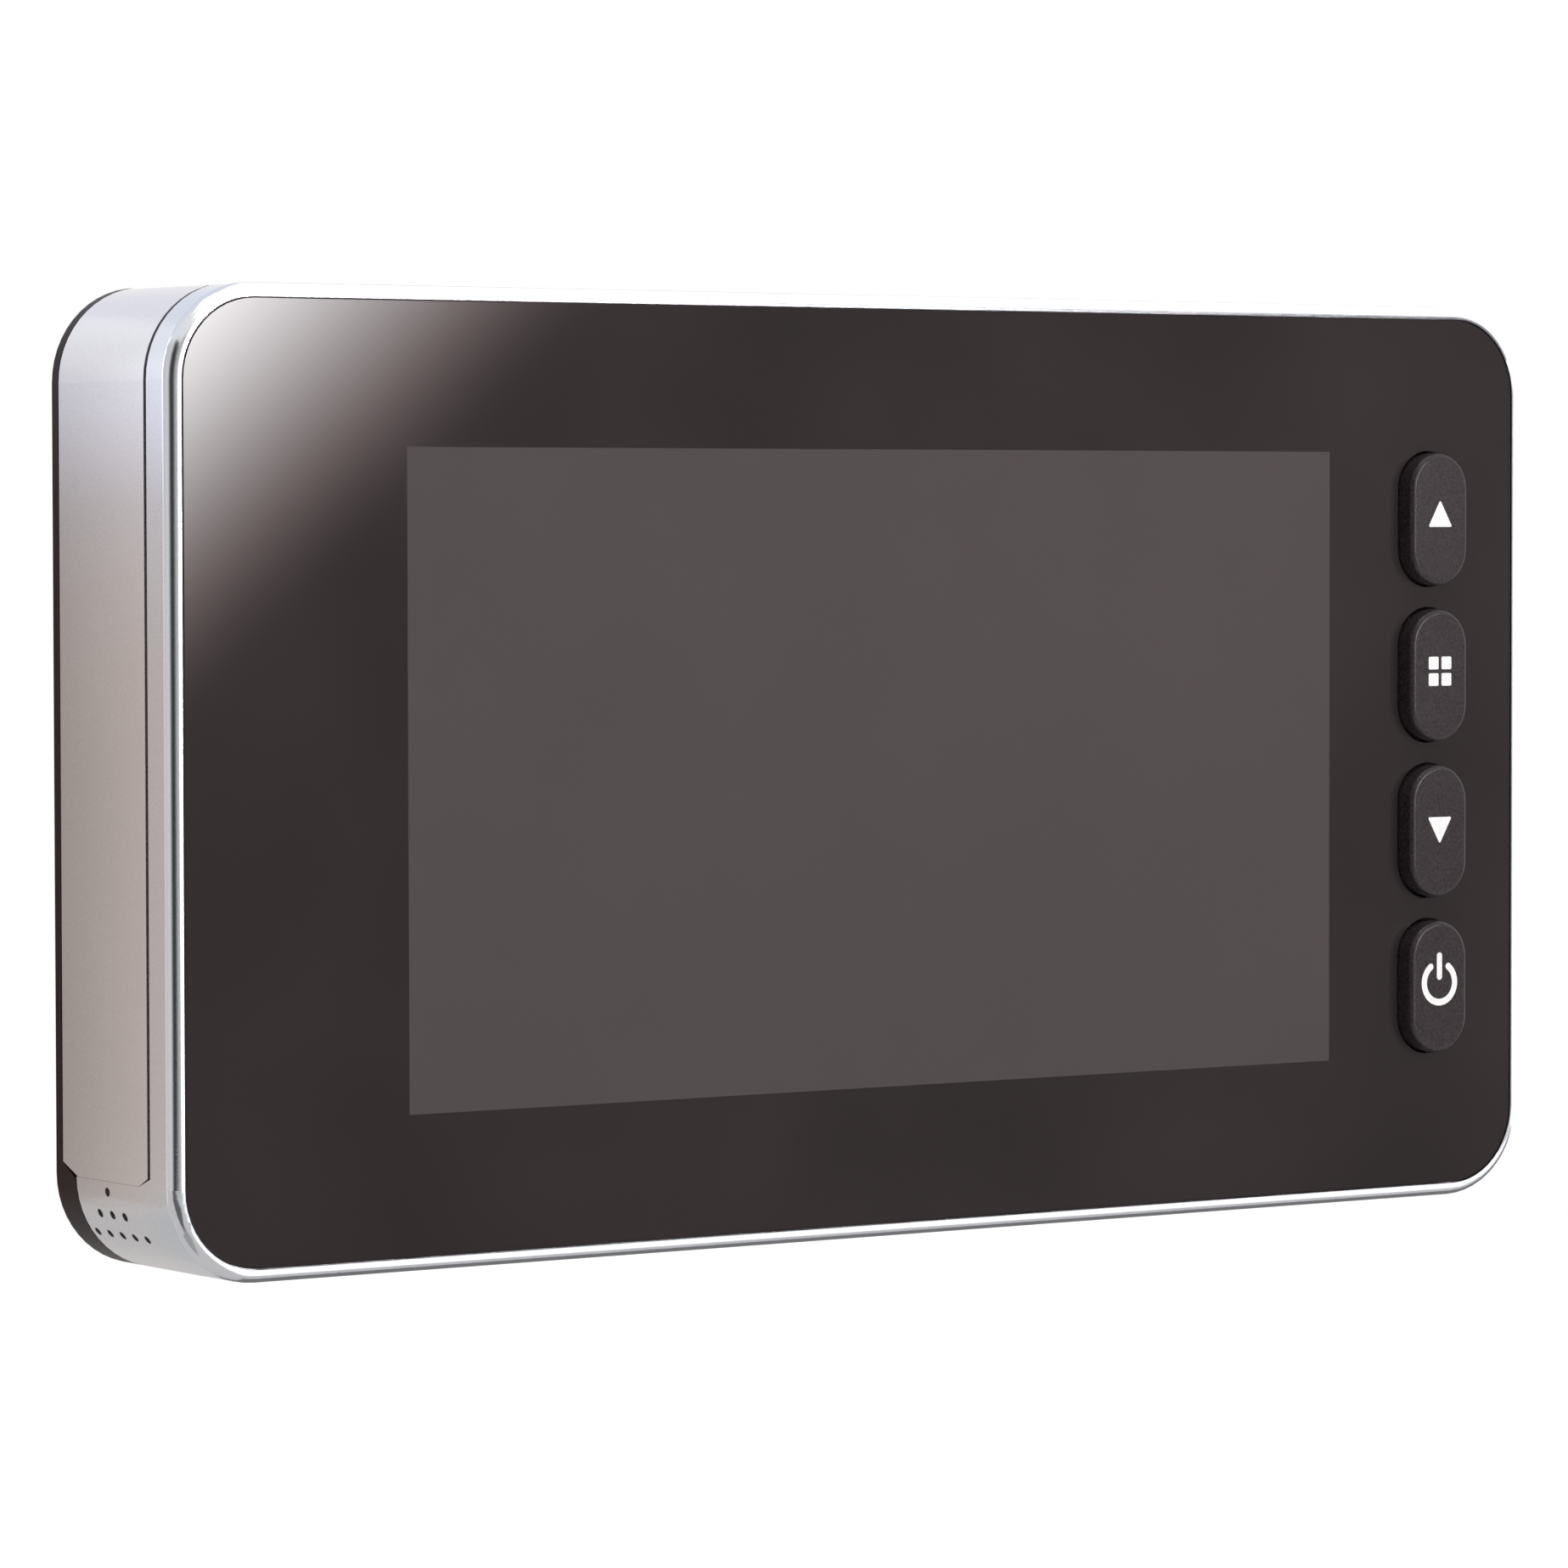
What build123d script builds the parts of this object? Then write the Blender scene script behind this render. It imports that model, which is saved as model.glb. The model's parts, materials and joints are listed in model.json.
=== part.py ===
from build123d import *
import os
from math import cos, radians, sin

# Indoor monitor of a digital door viewer, hung on its steel wall bracket.
# X runs to the right as the user sees it, Z runs up and Y runs into the door.
# The origin is the centre of the barrel bore on the door's face.
# A depth is a distance behind the face of the front panel.

# Screen and front panel
screen_width = 95.04
screen_height = 53.86
screen_x = -0.14
screen_z = -0.13
panel_width = 136.6
panel_height = 77.3
panel_radius = 6.65
panel_thickness = 1.2
panel_edge = 0.12
panel_gap = 0.08
tape_thickness = 0.2
tape_width = 2.5
tape_inset = 0.3

# Case shells
rim_width = 1.2
rim_radius = 1.1
wall = 1.5
plate_thickness = 1.2
rear_plate = 1.6
rear_edge = 0.7
seam_depth = 3.65
seam_width = 0.45
foot_gap = 0.02
band_gap = 0.12
band_depth = 1.85
chin_setback = 4.1
chin_gap = 0.1
foot_rise = 7.8
foot_front_run = 1.4
foot_front_rise = 0.7
foot_rear_run = 2.5
foot_rear_rise = 1.05
foot_step = 0.25
slide_gap = 0.2
lip_wall = 1.0
lip_depth = 1.9
door_gap = 0.3
overrun = 2.0

# Buttons
button_width = 6.45
button_height = 11.75
button_pitch = 13.9
button_place_share = 0.5363
button_stand = 1.75
button_edge = 0.45
button_gap = 0.2
flange_lap = 0.9
flange_thickness = 0.8
flange_gap = 0.1
button_travel = 0.5
window_gap = 0.25
icon_depth = 0.2
triangle_width = 2.75
triangle_height = 2.4
triangle_corner = 0.12
up_lift = 0.5
down_lift = 0.05
grid_cell = 1.13
grid_pitch = 1.47
grid_corner = 0.14
grid_lift = 0.35
ring_radius = 1.75
ring_stroke = 0.6
ring_lift = 0.35
ring_opening = 70.0
bar_start = 0.25
bar_length = 2.45

# Button switches and their board
switch_size = 6.0
switch_depth = 3.0
switch_thickness = 1.6
stem_radius = 1.6
stem_gap = 0.25
stem_reach = 0.5
stem_spare = 0.15
button_board_thickness = 0.8
button_board_width = 9.4
button_board_margin = 3.0

# Display module
gasket_thickness = 0.3
gasket_margin = 0.3
window_web = 0.9
lcd_post_gap = 0.35
lcd_sheet = 0.3
glass_thickness = 1.2
glass_inset = 1.0
frame_start = 0.4
backlight_thickness = 1.4
lcd_gap = 0.3

# Main board and its pieces
board_gap = 0.5
board_thickness = 1.0
board_side_gap = 0.6
board_end_gap = 1.0
board_post_radius = 1.8
board_post_inset_x = 6.0
board_post_inset_z = 1.6
board_screw_radius = 0.9
board_screw_head_radius = 1.6
board_screw_head = 1.0
board_screw_reach = 1.6
screw_gap = 0.1
pad_width = 12.0
pad_height = 8.0
pad_inset_x = 23.0
pad_inset_z = 15.6
can_width = 30.0
can_height = 22.0
can_depth = 2.4
can_sheet = 0.3
can_x = -18.0
can_drop = 17.35
chip_width = 12.0
chip_height = 12.0
chip_thickness = 1.2
chip_pitch_x = 18.0
chip_x = 24.0
chip_drop = 13.35
camera_connector_width = 16.0
camera_connector_height = 4.5
camera_connector_thickness = 2.0
camera_connector_z = 4.0
ribbon_slot_width = 13.0
ribbon_slot_depth = 0.6
lcd_connector_width = 22.0
lcd_connector_height = 4.0
lcd_connector_thickness = 1.2
lcd_connector_x = 0.0
lcd_connector_rise = 5.0
flex_width = 20.0
flex_thickness = 0.15
flex_bend = 0.2
flex_gap = 0.35

# Sockets in the chin
usb_x = -26.0
usb_width = 7.8
usb_thickness = 2.8
usb_length = 5.4
usb_shell = 0.4
usb_tongue_width = 4.4
usb_tongue_thickness = 0.5
usb_hole_gap = 0.3
socket_gap = 0.2
card_x = 22.0
card_width = 11.0
card_length = 15.0
card_thickness = 0.8
card_notch = 1.2
card_sink = 0.2
card_gap = 0.15
card_socket_wall = 0.5
card_socket_length = 13.6
card_slot_gap = 0.3

# Microphone and speaker
microphone_x = -16.0
microphone_radius = 1.95
microphone_height = 1.5
boot_radius = 3.2
boot_height = 2.8
boot_gap = 0.05
sound_hole_radius = 0.4
speaker_hole_radius = 0.38
speaker_hole_pitch = 2.05
speaker_row_angle = 14.2
speaker_first_angle = 6.8
speaker_centre_share = 0.541
speaker_length = 11.0
speaker_gap = 1.0
speaker_thickness = 3.0
speaker_rise = 1.6
speaker_standoff = 2.3
cone_thickness = 0.3
cone_margin = 0.6
cone_sink = 0.4
magnet_radius = 2.6
magnet_thickness = 1.6
rib_thickness = 1.6

# Cells and their trays
cell_radius = 5.25
cell_length = 44.5
cell_nub_radius = 1.9
cell_nub_height = 1.0
cell_edge = 0.4
cell_gap = 0.2
cell_spacing = 0.3
cell_rear_space = 1.3
tray_wall = 1.0
tray_gap = 0.25
contact_sheet = 0.4
contact_boss_radius = 2.5
contact_height = 1.5
contact_width = 8.0

# Screws that join the case
post_radius = 2.5
post_display_gap = 0.5
post_inset_z = 7.9
post_meet = 9.0
case_screw_radius = 1.25
case_screw_gap = 0.15
case_screw_reach = 3.0
case_head_radius = 1.9
case_head_height = 1.6
case_head_seat = 3.0
cross_length = 1.6
cross_width = 0.4
cross_depth = 0.6

# Rubber pads behind the case
foot_pad_radius = 4.0
foot_pad_sink = 0.7
foot_pad_x = 48.0
foot_pad_inset_z = 8.0

# Wall bracket
bracket_width = 62.0
bracket_height = 50.0
bracket_sheet = 1.2
bracket_radius = 4.0
barrel_radius = 7.5
screw_hole_radius = 1.7
screw_spacing_x = 24.0
screw_spacing_z = 38.0
hook_width = 8.0
hook_height = 5.0
hook_x = 23.5
hook_top = 12.0
hook_bottom = -14.0
hook_side_gap = 0.5
lift_travel = 6.5
bracket_clearance = 0.2
recess_gap = 0.4
recess_wall = 1.4
ribbon_window_width = 34.0
ribbon_window_margin = 1.5
ribbon_window_radius = 3.0

# Depths and outlines that follow
case_width = panel_width + 2 * rim_width
case_height = panel_height + 2 * rim_width
corner_radius = panel_radius + rim_width
inner_width = case_width - 2 * wall
inner_height = case_height - 2 * wall
inner_radius = corner_radius - wall
ledge_depth = panel_thickness + tape_thickness
plate_back = ledge_depth + plate_thickness
glass_front = panel_thickness + gasket_thickness
glass_back = glass_front + glass_thickness
backlight_back = glass_back + backlight_thickness
lcd_back = backlight_back + lcd_sheet
board_front = lcd_back + board_gap
board_back = board_front + board_thickness
switch_back = switch_depth + switch_thickness
tray_front = switch_back + button_board_thickness
cell_depth = tray_front + tray_wall + cell_gap + cell_radius
rear_inner = cell_depth + cell_radius + cell_rear_space
case_depth = rear_inner + rear_plate
door_depth = case_depth + door_gap
cover_front = seam_depth + seam_width
cover_back = case_depth - band_depth
band_front = cover_back + band_gap
chin_depth = case_depth - chin_setback
step_depth = chin_depth + chin_gap
foot_z = -case_height / 2 + foot_rise
lip_width = inner_width - 2 * slide_gap
lip_height = inner_height - 2 * slide_gap
lip_radius = inner_radius - slide_gap
floor_front = door_depth - bracket_sheet - bracket_clearance - recess_wall
floor_back = floor_front + recess_wall
chin_floor = -inner_height / 2
board_bottom = chin_floor + board_end_gap
board_height = inner_height - 2 * board_end_gap

# Places across the front
screen_edge = screen_x + screen_width / 2
button_x = screen_edge + button_place_share * (panel_width / 2 - screen_edge)
button_steps = (1.5, 0.5, -0.5, -1.5)
button_places = [(button_x, step * button_pitch) for step in button_steps]
cell_outer_x = inner_width / 2 - cell_spacing - cell_radius
cell_inner_x = cell_outer_x - 2 * cell_radius - cell_spacing
tray_inner_x = cell_inner_x - cell_radius - cell_gap - tray_wall
tray_outer_x = lip_width / 2 - lip_wall - tray_gap
bay_half = cell_length / 2 + contact_height
speaker_floor = chin_floor + speaker_rise
speaker_height = -bay_half - tray_wall - speaker_gap - speaker_floor
cone_radius = speaker_height / 2 - cone_margin
board_width = 2 * (tray_inner_x - board_side_gap)
post_z = case_height / 2 - post_inset_z
board_post_x = board_width / 2 - board_post_inset_x
board_post_z = board_height / 2 - board_post_inset_z
chip_z = board_height / 2 - chip_drop
can_z = board_height / 2 - can_drop
window_width = button_width + 2 * (flange_lap + window_gap)
lcd_edge = button_x - window_width / 2 - window_web - lcd_gap
lcd_width = 2 * (lcd_edge - screen_x)
lcd_height = 2 * (board_post_z - board_post_radius - lcd_post_gap)
post_x = lcd_edge + post_display_gap + post_radius


def at_depth(depth):
    """Plane that faces the user, at a depth behind the panel's face."""
    return Plane.XZ.offset(door_depth - depth)


def side(depth, height):
    """Point of a side view, drawn on the YZ plane."""
    return (depth - door_depth, height)


def four(x, z):
    """The four mirrored places at plus and minus x and z."""
    return [(sx * x, sz * z) for sx in (-1, 1) for sz in (-1, 1)]


def save(piece, name):
    """Label one finished piece and write its file."""
    piece.part.label = name
    export_step(piece.part, f"parts/{name}.step")


os.makedirs("parts", exist_ok=True)

# Front bezel: rim, panel ledge, board posts, case posts and chin
with BuildPart() as front_bezel:
    with BuildSketch(at_depth(chin_depth)):
        RectangleRounded(case_width, case_height, corner_radius)
    extrude(amount=chin_depth)
    fillet(front_bezel.faces().sort_by(Axis.Y)[0].edges(), rim_radius)

    with BuildSketch(at_depth(ledge_depth)):
        RectangleRounded(
            panel_width + 2 * panel_gap,
            panel_height + 2 * panel_gap,
            panel_radius + panel_gap,
        )
    extrude(amount=ledge_depth, mode=Mode.SUBTRACT)

    with BuildSketch(at_depth(chin_depth)):
        RectangleRounded(inner_width, inner_height, inner_radius)
    extrude(amount=chin_depth - plate_back, mode=Mode.SUBTRACT)

    with BuildSketch(at_depth(plate_back)):
        with Locations((screen_x, screen_z)):
            Rectangle(lcd_width + 2 * lcd_gap, lcd_height + 2 * lcd_gap)
        with Locations((button_x, 0)):
            Rectangle(window_width, 3 * button_pitch + button_height + 2 * window_gap)
    extrude(amount=plate_thickness, mode=Mode.SUBTRACT)

    with BuildSketch(Plane.YZ):
        with BuildLine():
            Polyline(
                side(seam_depth, case_height),
                side(seam_depth, foot_z + foot_front_rise),
                side(cover_front + foot_front_run, foot_z - foot_gap),
                side(chin_depth + overrun, foot_z - foot_gap),
                side(chin_depth + overrun, case_height),
                close=True,
            )
        make_face()
    extrude(amount=case_width, both=True, mode=Mode.SUBTRACT)

    with BuildSketch(at_depth(plate_back + lip_depth)):
        RectangleRounded(lip_width, lip_height, lip_radius)
        RectangleRounded(
            lip_width - 2 * lip_wall,
            lip_height - 2 * lip_wall,
            lip_radius - lip_wall,
            mode=Mode.SUBTRACT,
        )
        with Locations((0, foot_z)):
            Rectangle(
                case_width,
                case_height,
                align=(Align.CENTER, Align.MAX),
                mode=Mode.SUBTRACT,
            )
    extrude(amount=lip_depth)

    with BuildSketch(at_depth(post_meet)):
        with Locations(*four(post_x, post_z)):
            Circle(post_radius)
    extrude(amount=post_meet - plate_back)
    with BuildSketch(at_depth(post_meet)):
        with Locations(*four(post_x, post_z)):
            Circle(case_screw_radius + screw_gap)
    extrude(amount=case_screw_reach + case_screw_gap, mode=Mode.SUBTRACT)

    with BuildSketch(at_depth(board_front)):
        with Locations(*four(board_post_x, board_post_z)):
            Circle(board_post_radius)
    extrude(amount=board_front - plate_back)
    with BuildSketch(at_depth(board_front)):
        with Locations(*four(board_post_x, board_post_z)):
            Circle(board_screw_radius + screw_gap)
    extrude(amount=board_screw_reach + screw_gap, mode=Mode.SUBTRACT)

    # Nine sound holes on the lower left corner, in rows of one, three and five
    corner_x = -case_width / 2 + corner_radius
    corner_z = -case_height / 2 + corner_radius
    speaker_depth = speaker_centre_share * case_depth
    for row in range(3):
        angle = radians(speaker_first_angle + row * speaker_row_angle)
        radial = Plane(
            origin=(corner_x, speaker_depth - door_depth, corner_z),
            x_dir=(0, 1, 0),
            z_dir=(-cos(angle), 0, -sin(angle)),
        )
        with BuildSketch(radial.offset(inner_radius - wall)):
            with GridLocations(speaker_hole_pitch, 0, 2 * row + 1, 1):
                Circle(speaker_hole_radius)
        extrude(amount=3 * wall, mode=Mode.SUBTRACT)

    # Ribs that carry the speaker in the chin and end inside its wall
    speaker_x = -inner_width / 2 + speaker_standoff
    for way in (-1, 1):
        rib_depth = speaker_depth + way * (speaker_length / 2 - 1.5 * rib_thickness)
        with BuildSketch(at_depth(rib_depth + rib_thickness / 2)):
            with Locations((speaker_x, speaker_floor)):
                Rectangle(
                    speaker_thickness,
                    speaker_rise + wall,
                    align=(Align.MIN, Align.MAX),
                )
            RectangleRounded(
                case_width - wall,
                case_height - wall,
                corner_radius - wall / 2,
                mode=Mode.INTERSECT,
            )
        extrude(amount=rib_thickness)

    # Openings for the plug, the card and the microphone
    usb_y = board_back + usb_thickness / 2 - door_depth
    card_y = board_back + card_socket_wall + card_gap + card_thickness / 2 - door_depth
    boot_y = board_back + boot_radius + socket_gap - door_depth
    with BuildSketch(Plane.XY.offset(chin_floor)):
        with Locations((usb_x, usb_y)):
            Rectangle(usb_width + 2 * usb_hole_gap, usb_thickness + 2 * usb_hole_gap)
        with Locations((card_x, card_y)):
            Rectangle(card_width + 2 * card_slot_gap, card_thickness + 2 * card_slot_gap)
        with Locations((microphone_x, boot_y)):
            Circle(sound_hole_radius)
    extrude(amount=-wall - overrun, mode=Mode.SUBTRACT)

# Front panel: gloss black sheet with the screen window and button holes
with BuildPart() as front_panel:
    with BuildSketch(at_depth(panel_thickness)):
        RectangleRounded(panel_width, panel_height, panel_radius)
    extrude(amount=panel_thickness)
    chamfer(front_panel.faces().sort_by(Axis.Y)[0].edges(), panel_edge)
    with BuildSketch(at_depth(panel_thickness)):
        with Locations((screen_x, screen_z)):
            Rectangle(screen_width, screen_height)
        with Locations(*button_places):
            SlotOverall(
                button_height + 2 * button_gap,
                button_width + 2 * button_gap,
                rotation=90,
            )
    extrude(amount=panel_thickness, mode=Mode.SUBTRACT)

# Screen window, bonded flush in the panel and on the display's glass
with BuildPart() as screen_window:
    with BuildSketch(at_depth(glass_front)):
        with Locations((screen_x, screen_z)):
            Rectangle(screen_width, screen_height)
    extrude(amount=glass_front)

# Adhesive ring between the panel and the bezel's ledge
with BuildPart() as panel_tape:
    with BuildSketch(at_depth(ledge_depth)):
        RectangleRounded(
            panel_width - 2 * tape_inset,
            panel_height - 2 * tape_inset,
            panel_radius - tape_inset,
        )
        RectangleRounded(
            panel_width - 2 * (tape_inset + tape_width),
            panel_height - 2 * (tape_inset + tape_width),
            panel_radius - tape_inset - tape_width,
            mode=Mode.SUBTRACT,
        )
    extrude(amount=tape_thickness)

# Foam gasket that seals the display to the back of the panel
with BuildPart() as lcd_gasket:
    with BuildSketch(at_depth(glass_front)):
        with Locations((screen_x, screen_z)):
            Rectangle(lcd_width - 2 * lcd_sheet, lcd_height - 2 * glass_inset)
            Rectangle(
                screen_width + 2 * gasket_margin,
                screen_height + 2 * gasket_margin,
                mode=Mode.SUBTRACT,
            )
    extrude(amount=gasket_thickness)

# Display module: glass, backlight and folded metal frame
with BuildPart() as lcd_glass:
    with BuildSketch(at_depth(glass_back)):
        with Locations((screen_x, screen_z)):
            Rectangle(lcd_width - 2 * lcd_sheet, lcd_height - 2 * glass_inset)
    extrude(amount=glass_thickness)

with BuildPart() as lcd_backlight:
    with BuildSketch(at_depth(backlight_back)):
        with Locations((screen_x, screen_z)):
            Rectangle(lcd_width - 2 * lcd_sheet, lcd_height - 2 * lcd_sheet)
    extrude(amount=backlight_thickness)

with BuildPart() as lcd_frame:
    with BuildSketch(at_depth(lcd_back)):
        with Locations((screen_x, screen_z)):
            Rectangle(lcd_width, lcd_height)
    extrude(amount=lcd_back - glass_front - frame_start)
    with BuildSketch(at_depth(backlight_back)):
        with Locations((screen_x, screen_z)):
            Rectangle(lcd_width - 2 * lcd_sheet, lcd_height - 2 * lcd_sheet)
    extrude(amount=backlight_back, mode=Mode.SUBTRACT)

# Foam pads that hold the display off the main board
with BuildPart() as lcd_pads:
    with BuildSketch(at_depth(board_front)):
        with Locations(*four(lcd_width / 2 - pad_inset_x, lcd_height / 2 - pad_inset_z)):
            Rectangle(pad_width, pad_height)
    extrude(amount=board_gap)

# Main board with its pilot holes
with BuildPart() as main_board:
    with BuildSketch(at_depth(board_back)):
        Rectangle(board_width, board_height)
        with Locations(*four(board_post_x, board_post_z)):
            Circle(board_screw_radius + screw_gap, mode=Mode.SUBTRACT)
    extrude(amount=board_thickness)

with BuildPart() as board_screws:
    with BuildSketch(at_depth(board_back + board_screw_head)):
        with Locations(*four(board_post_x, board_post_z)):
            Circle(board_screw_head_radius)
    extrude(amount=board_screw_head)
    with BuildSketch(at_depth(board_back)):
        with Locations(*four(board_post_x, board_post_z)):
            Circle(board_screw_radius)
    extrude(amount=board_thickness + board_screw_reach)

# Shield can, chips and connectors behind the main board
with BuildPart() as shield_can:
    with BuildSketch(at_depth(board_back + can_depth)):
        with Locations((can_x, can_z)):
            Rectangle(can_width, can_height)
    extrude(amount=can_depth)
    with BuildSketch(at_depth(board_back + can_depth - can_sheet)):
        with Locations((can_x, can_z)):
            Rectangle(can_width - 2 * can_sheet, can_height - 2 * can_sheet)
    extrude(amount=can_depth - can_sheet, mode=Mode.SUBTRACT)

with BuildPart() as board_chips:
    with BuildSketch(at_depth(board_back + chip_thickness)):
        with Locations((chip_x, chip_z)):
            with GridLocations(chip_pitch_x, 0, 2, 1):
                Rectangle(chip_width, chip_height)
    extrude(amount=chip_thickness)

with BuildPart() as camera_connector:
    with BuildSketch(at_depth(board_back + camera_connector_thickness)):
        with Locations((0, camera_connector_z)):
            Rectangle(camera_connector_width, camera_connector_height)
    extrude(amount=camera_connector_thickness)
    slot_back = board_back + (camera_connector_thickness + ribbon_slot_depth) / 2
    with BuildSketch(at_depth(slot_back)):
        with Locations((0, camera_connector_z - camera_connector_height / 2)):
            Rectangle(ribbon_slot_width, camera_connector_height)
    extrude(amount=ribbon_slot_depth, mode=Mode.SUBTRACT)

lcd_connector_z = board_bottom + lcd_connector_rise
with BuildPart() as lcd_connector:
    with BuildSketch(at_depth(board_back + lcd_connector_thickness)):
        with Locations((lcd_connector_x, lcd_connector_z)):
            Rectangle(
                lcd_connector_width,
                lcd_connector_height,
                align=(Align.CENTER, Align.MIN),
            )
    extrude(amount=lcd_connector_thickness)

# Flat cable from the display, folded round the board's lower edge
flex_front = (glass_back + lcd_back) / 2
flex_back = board_back + flex_gap
flex_bottom = board_bottom - flex_gap
with BuildPart() as lcd_flex:
    with BuildSketch(Plane.YZ.offset(lcd_connector_x - flex_width / 2)):
        with BuildLine() as flex_route:
            FilletPolyline(
                side(flex_front, screen_z - lcd_height / 2),
                side(flex_front, flex_bottom),
                side(flex_back, flex_bottom),
                side(flex_back, lcd_connector_z),
                radius=flex_bend,
            )
        trace(flex_route.line, line_width=flex_thickness)
    extrude(amount=flex_width)

# Power socket: open steel shell with its tongue
usb_top = chin_floor + socket_gap + usb_length
with BuildPart() as usb_socket:
    with BuildSketch(Plane.XY.offset(usb_top)):
        with Locations((usb_x, usb_y)):
            Rectangle(usb_width, usb_thickness)
    extrude(amount=-usb_length)
    with BuildSketch(Plane.XY.offset(usb_top - usb_shell)):
        with Locations((usb_x, usb_y)):
            Rectangle(usb_width - 2 * usb_shell, usb_thickness - 2 * usb_shell)
    extrude(amount=-usb_length, mode=Mode.SUBTRACT)
    with BuildSketch(Plane.XY.offset(usb_top - usb_shell)):
        with Locations((usb_x, usb_y)):
            Rectangle(usb_tongue_width, usb_tongue_thickness)
    extrude(amount=-usb_length / 2)

# Card socket, open downwards, and the card that slides in it
socket_bottom = chin_floor + socket_gap
card_bottom = -case_height / 2 + card_sink
socket_width = card_width + 2 * (card_gap + card_socket_wall)
socket_thickness = card_thickness + 2 * (card_gap + card_socket_wall)
with BuildPart() as card_socket:
    with BuildSketch(Plane.XY.offset(socket_bottom)):
        with Locations((card_x, card_y)):
            Rectangle(socket_width, socket_thickness)
    extrude(amount=card_socket_length + card_gap + card_socket_wall)
    with BuildSketch(Plane.XY.offset(socket_bottom)):
        with Locations((card_x, card_y)):
            Rectangle(card_width + 2 * card_gap, card_thickness + 2 * card_gap)
    extrude(amount=card_socket_length + card_gap, mode=Mode.SUBTRACT)

with BuildPart() as memory_card:
    with BuildSketch(at_depth(card_y + door_depth + card_thickness / 2)):
        with Locations((card_x, card_bottom)):
            Rectangle(card_width, card_length, align=(Align.CENTER, Align.MIN))
        with Locations((card_x + card_width / 2, card_bottom + card_length)):
            Rectangle(2 * card_notch, card_length, mode=Mode.SUBTRACT)
    extrude(amount=card_thickness)

# Microphone in its rubber boot on the chin's floor
with BuildPart() as microphone_boot:
    with BuildSketch(Plane.XY.offset(chin_floor)):
        with Locations((microphone_x, boot_y)):
            Circle(boot_radius)
            Circle(sound_hole_radius, mode=Mode.SUBTRACT)
    extrude(amount=boot_height)
    with BuildSketch(Plane.XY.offset(chin_floor + boot_height - microphone_height)):
        with Locations((microphone_x, boot_y)):
            Circle(microphone_radius + boot_gap)
    extrude(amount=microphone_height, mode=Mode.SUBTRACT)

with BuildPart() as microphone:
    with BuildSketch(Plane.XY.offset(chin_floor + boot_height - microphone_height)):
        with Locations((microphone_x, boot_y)):
            Circle(microphone_radius)
    extrude(amount=microphone_height)

# Speaker behind the sound holes: frame, cone and magnet
speaker_z = speaker_floor + speaker_height / 2
speaker_face = Plane(
    origin=(speaker_x, speaker_depth - door_depth, speaker_z),
    x_dir=(0, 1, 0),
    z_dir=(-1, 0, 0),
)
with BuildPart() as speaker_frame:
    with BuildSketch(speaker_face):
        Rectangle(speaker_length, speaker_height)
    extrude(amount=-speaker_thickness)
    with BuildSketch(speaker_face):
        Circle(cone_radius)
    extrude(amount=-cone_sink - cone_thickness, mode=Mode.SUBTRACT)
    with BuildSketch(speaker_face):
        Circle(magnet_radius + boot_gap)
    extrude(amount=-speaker_thickness, mode=Mode.SUBTRACT)

with BuildPart() as speaker_cone:
    with BuildSketch(speaker_face.offset(-cone_sink)):
        Circle(cone_radius - boot_gap)
    extrude(amount=-cone_thickness)

with BuildPart() as speaker_magnet:
    with BuildSketch(speaker_face.offset(-speaker_thickness)):
        Circle(magnet_radius)
    extrude(amount=magnet_thickness)

# Button board with its four switches
with BuildPart() as button_board:
    with BuildSketch(at_depth(tray_front)):
        with Locations((button_x, 0)):
            Rectangle(
                button_board_width,
                3 * button_pitch + switch_size + 2 * button_board_margin,
            )
    extrude(amount=button_board_thickness)

with BuildPart() as switch_bodies:
    with BuildSketch(at_depth(switch_back)):
        with Locations(*button_places):
            Rectangle(switch_size, switch_size)
    extrude(amount=switch_thickness)
    with BuildSketch(at_depth(switch_depth + stem_reach + button_travel + stem_spare)):
        with Locations(*button_places):
            Circle(stem_radius + stem_gap)
    extrude(amount=stem_reach + button_travel + stem_spare, mode=Mode.SUBTRACT)

flange_back = panel_thickness + flange_gap + flange_thickness


def triangle(place, way, lift):
    """Triangle that points up for a way of 1 and down for a way of -1."""
    x, z = place[0], place[1] + lift
    with BuildSketch(at_depth(icon_depth - button_stand)) as mark:
        with BuildLine():
            Polyline(
                (x - triangle_width / 2, z - way * triangle_height / 2),
                (x + triangle_width / 2, z - way * triangle_height / 2),
                (x, z + way * triangle_height / 2),
                close=True,
            )
        make_face()
        fillet(mark.vertices(), triangle_corner)
    return mark.sketch


def grid(place):
    """Four small rounded squares."""
    with BuildSketch(at_depth(icon_depth - button_stand)) as mark:
        with Locations((place[0], place[1] + grid_lift)):
            with GridLocations(grid_pitch, grid_pitch, 2, 2):
                RectangleRounded(grid_cell, grid_cell, grid_corner)
    return mark.sketch


def power_mark(place):
    """Ring that is open at the top, with a bar in the opening; all ends are round."""
    x, z = place[0], place[1] + ring_lift
    across = ring_radius * sin(radians(ring_opening / 2))
    up = ring_radius * cos(radians(ring_opening / 2))
    with BuildSketch(at_depth(icon_depth - button_stand)) as mark:
        with Locations((x, z)):
            Circle(ring_radius + ring_stroke / 2)
            Circle(ring_radius - ring_stroke / 2, mode=Mode.SUBTRACT)
        with BuildLine():
            Polyline(
                (x, z),
                (x - 2 * across, z + 2 * up),
                (x + 2 * across, z + 2 * up),
                close=True,
            )
        make_face(mode=Mode.SUBTRACT)
        with Locations((x - across, z + up), (x + across, z + up)):
            Circle(ring_stroke / 2)
        with Locations((x, z + bar_start + bar_length / 2)):
            SlotOverall(bar_length, ring_stroke, rotation=90)
    return mark.sketch


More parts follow.
